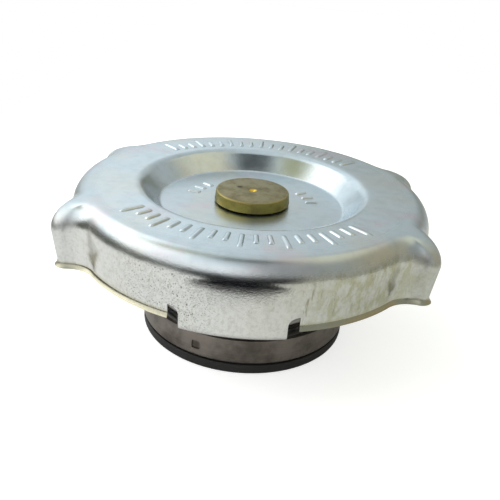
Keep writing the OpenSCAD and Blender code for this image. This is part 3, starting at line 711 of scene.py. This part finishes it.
def aged_brass():
    """Olive patina in clouds, bright rubbed rim, bared metal with a painted glint in the punch mark, a dark
    nick.
    """
    material, tree, place = new_material("aged_turned_brass")
    z, radius = height_and_radius(tree, place)
    mottle = add(tree, "TexNoise", Vector=place, Scale=per_mm(2.6), Detail=5.0, Roughness=0.65)
    speck = add(tree, "TexNoise", Vector=place, Scale=per_mm(0.5), Detail=2.0)
    top = add(tree, "MapRange", SMOOTH, Value=z, From_Min=(HEAD_TOP - 0.25) * MM,
              From_Max=(HEAD_TOP - 0.02) * MM)
    tint = add(tree, "MixRGB", Fac=top, Color1=srgb("#988D4E"), Color2=srgb("#968C6A"))
    dull = add(tree, "MapRange", SMOOTH, Value=mottle, From_Min=0.4, From_Max=0.68, To_Max=0.6)
    tint = add(tree, "MixRGB", Fac=dull, Color1=tint, Color2=srgb("#6B6342"))
    edge_r = HEAD_R - HEAD_TAPER
    rub = add(tree, "MapRange", SMOOTH, Value=radius, From_Min=(edge_r - 0.5) * MM,
              From_Max=(edge_r - 0.1) * MM)
    rub = add(tree, "Math", TIMES, n0=rub, n1=top)
    tint = add(tree, "MixRGB", Fac=rub, Color1=tint, Color2=srgb("#A39561"))
    # Painted highlight and bared metal: the punch mark is painted bright gold
    bare_metal_and_glint = add(tree, "MapRange", SMOOTH, Value=radius, From_Min=DIMPLE_R * MM, From_Max=0.6 * DIMPLE_R * MM)
    tint = add(tree, "MixRGB", Fac=bare_metal_and_glint, Color1=tint, Color2=srgb("#F0C24A"))
    nick = near(tree, place, NICK_SPOT, NICK_REACH)
    tint = add(tree, "MixRGB", Fac=nick, Color1=tint, Color2=srgb("#3A3524"))
    rough = add(tree, "MapRange", SMOOTH, Value=mottle, From_Min=0.3, From_Max=0.7, To_Min=0.34,
                To_Max=0.52)
    rough = add(tree, "Math", TIMES_PLUS, n0=bare_metal_and_glint, n1=-0.2, n2=rough)
    bump = add(tree, "Bump", Strength=0.5, Distance=0.03 * MM, Height=mottle)
    bump = add(tree, "Bump", Strength=0.5, Distance=0.01 * MM, Height=speck, Normal=bump)
    surface = add(tree, "BsdfPrincipled", Base_Color=tint, Metallic=1.0, Roughness=rough, Normal=bump)
    add(tree, "OutputMaterial", Surface=surface)
    return material


brass = aged_brass()
print(brass.name, "has", len(brass.node_tree.nodes), "nodes")

# %% [markdown]
# ### The other metals and the rubber
# The cup is steel with a dark oxide, streaked round its wall by the press. The inner brass and the spring
# wire are brighter. Rubber is near black, with the fine grain of its mould.

# %% Dark steel, inner metals and rubber
# The cup's three pressed pocket marks are painted darker: painted shade in each hollow
cup_low, cup_high = [np.array(corner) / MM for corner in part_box("valve_cup")]
POCKET_ANGLE, POCKET_COUNT = math.radians(249.5), 3
pocket_turn = POCKET_ANGLE + np.arange(POCKET_COUNT) * math.tau / POCKET_COUNT
POCKET_SHADE_SPOTS = rows_at([cup_high[0]], [(cup_low[2] + cup_high[2]) / 2], polar(1, pocket_turn))
POCKET_SHADE_REACH = 1.5


def streaked_metal(name, light, dark, roughness, streak_mm, bump_mm, shaded_pockets=()):
    """A metal with streaks that run round the axis: the pattern reads only distance and height."""
    material, tree, place = new_material(name)
    z, radius = height_and_radius(tree, place)
    section = add(tree, "CombineXYZ", X=radius, Y=z)
    streak = add(tree, "TexNoise", Vector=section, Scale=per_mm(streak_mm), Detail=3.0)
    stain = add(tree, "TexNoise", Vector=place, Scale=per_mm(5.5), Detail=4.0, Roughness=0.62)
    amount = add(tree, "MapRange", SMOOTH, Value=stain, From_Min=0.35, From_Max=0.72, To_Max=0.7)
    amount = add(tree, "Math", TIMES_PLUS, n0=streak, n1=0.4, n2=amount)
    # Painted shade: the steel is darker round each pressed pocket
    for spot in shaded_pockets:
        amount = add(tree, "Math", LARGER, n0=amount, n1=near(tree, place, spot, POCKET_SHADE_REACH))
    tint = add(tree, "MixRGB", Fac=amount, Color1=srgb(light), Color2=srgb(dark))
    rough = add(tree, "Math", TIMES_PLUS, n0=stain, n1=0.2, n2=roughness - 0.1)
    bump = add(tree, "Bump", Strength=0.5, Distance=bump_mm * MM, Height=streak)
    surface = add(tree, "BsdfPrincipled", Base_Color=tint, Metallic=1.0, Roughness=rough, Normal=bump)
    add(tree, "OutputMaterial", Surface=surface)
    return material


def moulded_rubber():
    """Near-black rubber with a faint pale bloom and a fine mould grain."""
    material, tree, place = new_material("moulded_black_rubber")
    grain = add(tree, "TexNoise", Vector=place, Scale=per_mm(0.35), Detail=2.0)
    bloom = add(tree, "TexNoise", Vector=place, Scale=per_mm(6), Detail=3.0)
    pale = add(tree, "MapRange", SMOOTH, Value=bloom, From_Min=0.4, From_Max=0.75, To_Max=0.6)
    tint = add(tree, "MixRGB", Fac=pale, Color1=srgb("#1B1A1A"), Color2=srgb("#2A2827"))
    rough = add(tree, "MapRange", SMOOTH, Value=bloom, From_Min=0.3, From_Max=0.7, To_Min=0.5, To_Max=0.66)
    bump = add(tree, "Bump", Strength=0.4, Distance=0.02 * MM, Height=grain)
    surface = add(tree, "BsdfPrincipled", Base_Color=tint, Roughness=rough, Normal=bump)
    add(tree, "OutputMaterial", Surface=surface)
    return material


finishes = {
    "zinc_plated_steel": zinc,
    "aged_brass": brass,
    "turned_brass": streaked_metal("turned_brass", "#C9A961", "#A3843F", 0.3, 0.3, 0.01),
    "spring_steel": streaked_metal("drawn_spring_steel", "#A9A9A6", "#7C7B78", 0.32, 0.6, 0.01),
    "dark_steel": streaked_metal("oxide_dark_steel", "#968E87", "#5C5650", 0.42, 0.5, 0.012, POCKET_SHADE_SPOTS),
    "black_rubber": moulded_rubber(),
}
print("finishes:", ", ".join(material.name for material in finishes.values()))

# %% [markdown]
# ## Dress every piece
# The record says which finish each CAD node takes, and each new piece was told its own. Both are read
# the same way here.

# %% Assign the finishes
slots = {part["node"]: part["material_slot"] for part in frame["record"]["subparts"]}
new_pieces = [cover, stamped, button, seal, lift_spring, vent_spring]
dressed = [(thing, slots[name]) for name, thing in frame["nodes"].items()]
dressed += [(piece, piece["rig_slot"]) for piece in new_pieces]
for thing, slot_name in dressed:
    thing.data.materials.clear()
    thing.data.materials.append(finishes[slot_name])
print("dressed", len(dressed), "objects")

# %% [markdown]
# ## White studio
# The cap stands on a small sheet of white paper in a pale room. Plated metal shows the room more than
# itself, so the room is drawn in the world's nodes: pale blue behind, a bright window on the left, warm
# walls on the right, and the dark of the camera's side in front. The camera itself sees white. The paper
# is painted darker and warmer towards the right as painted shade, and a bay in its front edge lets the
# front shoulder see the dark.

# %% Paper floor
PAPER_FRONT, PAPER_SIDE, PAPER_BACK = 125, 110, 700
BAY_EDGE, BAY_IN, BAY_OUT = 62, 28, 38
CAMERA_GLOW, MIRROR_GLOW = 0.7, 0.12


def paper_floor():
    """A flat sheet with a bay in its front edge, which takes the shadow, has painted shade on the right,
    and glows a little in mirrors.
    """
    right = np.array([[BAY_IN, -BAY_EDGE, 0], [BAY_OUT, -PAPER_FRONT, 0],
                      [PAPER_SIDE, -PAPER_FRONT, 0], [PAPER_SIDE, PAPER_BACK, 0]])
    corners = np.vstack([right, right[::-1] * [-1, 1, 1]])
    mesh = bpy.data.meshes.new("paper_floor")
    mesh.from_pydata(corners * MM, [], [range(len(corners))])
    floor = bpy.data.objects.new("paper_floor", mesh)
    bpy.context.scene.collection.objects.link(floor)
    material, tree, place = new_material("white_paper")
    seen = add(tree, "Math", LARGER, n0=add(tree, "LightPath", out="Is Glossy Ray"),
               n1=add(tree, "LightPath", out="Is Transmission Ray"))
    glow = add(tree, "Math", TIMES, n0=add(tree, "LightPath", out="Is Camera Ray"), n1=CAMERA_GLOW)
    glow = add(tree, "Math", TIMES_PLUS, n0=seen, n1=MIRROR_GLOW, n2=glow)
    along = add(tree, "SeparateXYZ", out="X", Vector=place)
    # Painted shade: the paper's colour darkens towards the right, and the metal reflects that
    shade = add(tree, "MapRange", SMOOTH, Value=along, From_Min=-10 * MM, From_Max=45 * MM)
    sheet = add(tree, "MixRGB", Fac=shade, Color1=srgb("#E9E9E9"), Color2=srgb("#C8C9C1"))
    matte = add(tree, "BsdfDiffuse", Color=sheet)
    light = add(tree, "Emission", Color=(1, 1, 1, 1), Strength=glow)
    add(tree, "OutputMaterial", Surface=add(tree, "AddShader", n0=matte, n1=light))
    mesh.materials.append(material)
    return floor


paper_floor()
print("paper, mm:", 2 * PAPER_SIDE, "by", PAPER_FRONT + PAPER_BACK)

# %% [markdown]
# ### The room
# Each panel of the room is a span of bearing and a span of height. Bearings are measured from the front,
# to the right, and heights from level. Later panels cover earlier ones, with soft edges.

# %% Room in the world's nodes
ROOM = [
    ("warm wall on the right", 78, 44, 22, 26, 14, srgb("#B3AC95")),
    ("window on the left", -92, 50, 32, 26, 12, (2.0, 2.0, 1.95, 1)),
    ("grey wall before the camera", 36, 34, 24, 26, 12, srgb("#A4A9A8")),
    ("lit wall before the camera", -28, 34, 20, 15, 10, (1.25, 1.25, 1.25, 1)),
    ("cream wall high on the right", 98, 38, 58, 16, 8, srgb("#EDE8CF")),
    ("olive curtain high on the left", -70, 22, 60, 14, 10, srgb("#B0AF86")),
    ("low shade behind on the right", 158, 22, 7, 9, 6, srgb("#86887C")),
    ("bright wall behind on the left", -150, 22, 24, 16, 10, (1.05, 1.13, 1.17, 1)),
    ("low shade behind on the left", -158, 22, 7, 9, 6, srgb("#D3DCDE")),
    ("table at the left", -100, 60, -12, 12, 5, srgb("#BDBDB7")),
    ("table's edge at the left", -85, 60, -6, 10, 5, srgb("#57584F")),
    ("dark under the table's edge", 55, 80, -16, 16, 5, srgb("#A3A397")),
    ("dark below the camera", 0, 36, -20, 25, 5, srgb("#060910")),
    ("dark above the camera", 3, 38, 66, 11, 8, srgb("#08090B")),
]
ROOM_RIGHT, ROOM_LEFT = srgb("#BDC2C1"), srgb("#F4FDFF")
scene = bpy.context.scene
scene.view_settings.view_transform = "Standard"


def span(tree, value, middle, half_width, soft):
    """1 where an angle is within half a width of the middle, with a soft edge, all in degrees."""
    gap = add(tree, "Math", LESS, n0=value, n1=math.radians(middle))
    gap = add(tree, "Math", SIZE_ONLY, n0=gap)
    return add(tree, "MapRange", SMOOTH, Value=gap, From_Min=math.radians(half_width + soft),
               From_Max=math.radians(half_width - soft))


def studio_room():
    """The world: a gradient from right to left, the panels over it, and white for the camera."""
    world = bpy.data.worlds.new("pale_room")
    scene.world = world
    world.use_nodes = True
    tree = world.node_tree
    tree.nodes.clear()
    way = add(tree, "TexCoord", out="Generated")
    x, y, z = [add(tree, "SeparateXYZ", out=axis, Vector=way) for axis in "XYZ"]
    front = add(tree, "Math", TIMES, n0=y, n1=-1.0)
    bearing_of = add(tree, "Math", {"operation": "ARCTAN2"}, n0=x, n1=front)
    height_of = add(tree, "Math", {"operation": "ARCSINE"}, n0=z)
    leftward = add(tree, "MapRange", SMOOTH, Value=x, From_Min=0.5, From_Max=-0.5)
    colour = add(tree, "MixRGB", Fac=leftward, Color1=ROOM_RIGHT, Color2=ROOM_LEFT)
    for name, bearing_mid, bearing_half, height_mid, height_half, soft, paint in ROOM:
        mask = add(tree, "Math", TIMES, n0=span(tree, bearing_of, bearing_mid, bearing_half, soft),
                   n1=span(tree, height_of, height_mid, height_half, soft))
        colour = add(tree, "MixRGB", {"label": name}, Fac=mask, Color1=colour, Color2=paint)
    seen = add(tree, "LightPath", out="Is Camera Ray")
    colour = add(tree, "MixRGB", Fac=seen, Color1=colour, Color2=(1, 1, 1, 1))
    add(tree, "OutputWorld", Surface=add(tree, "Background", Color=colour, Strength=1.0))


studio_room()
print("room panels:", len(ROOM))

# %% [markdown]
# ## Lamps and camera
# One large soft lamp above and to the left gives the soft shadow. The camera stands close, looking down
# by about 25 degrees and leaning a little, as in the photograph.

# %% Lamp
key = bpy.data.lights.new("soft_key", "AREA")
key.shape = "RECTANGLE"
key.size, key.size_y = 0.5, 0.4
key.energy = 1.3
key_lamp = bpy.data.objects.new("soft_key", key)
key_lamp.location = (-0.35, -0.05, 0.55)
aim = Vector((0, 0, 0.02)) - key_lamp.location
key_lamp.rotation_euler = aim.to_track_quat("-Z", "Y").to_euler()
key_lamp.visible_glossy = False
scene.collection.objects.link(key_lamp)
print("lamp is", round(aim.length, 2), "m away")

# %% Camera
FRAME_PIXELS = 500
FOCAL_PIXELS = 645.75
TARGET = Vector((0, 0, SKIRT_Z * MM))
TARGET_PIXEL = (248.5, 241.07)
DISTANCE = 0.128
AZIMUTH, ELEVATION, ROLL = [math.radians(a) for a in (2.57, 25.06, 4.67)]

lens = bpy.data.cameras.new("camera")
lens.sensor_width = 36
lens.lens = FOCAL_PIXELS / FRAME_PIXELS * lens.sensor_width
lens.shift_x = (FRAME_PIXELS / 2 - TARGET_PIXEL[0]) / FRAME_PIXELS
lens.shift_y = (TARGET_PIXEL[1] - FRAME_PIXELS / 2) / FRAME_PIXELS
lens.clip_start = 0.01
back = Vector((math.sin(AZIMUTH) * math.cos(ELEVATION), -math.cos(AZIMUTH) * math.cos(ELEVATION),
               math.sin(ELEVATION)))
camera = bpy.data.objects.new("camera", lens)
upright = back.to_track_quat("Z", "Y").to_matrix().to_4x4()
camera.matrix_world = Matrix.Translation(TARGET + back * DISTANCE) @ upright @ Matrix.Rotation(ROLL, 4, "Z")
scene.collection.objects.link(camera)
scene.camera = camera
print("camera at", [round(v, 4) for v in camera.location])
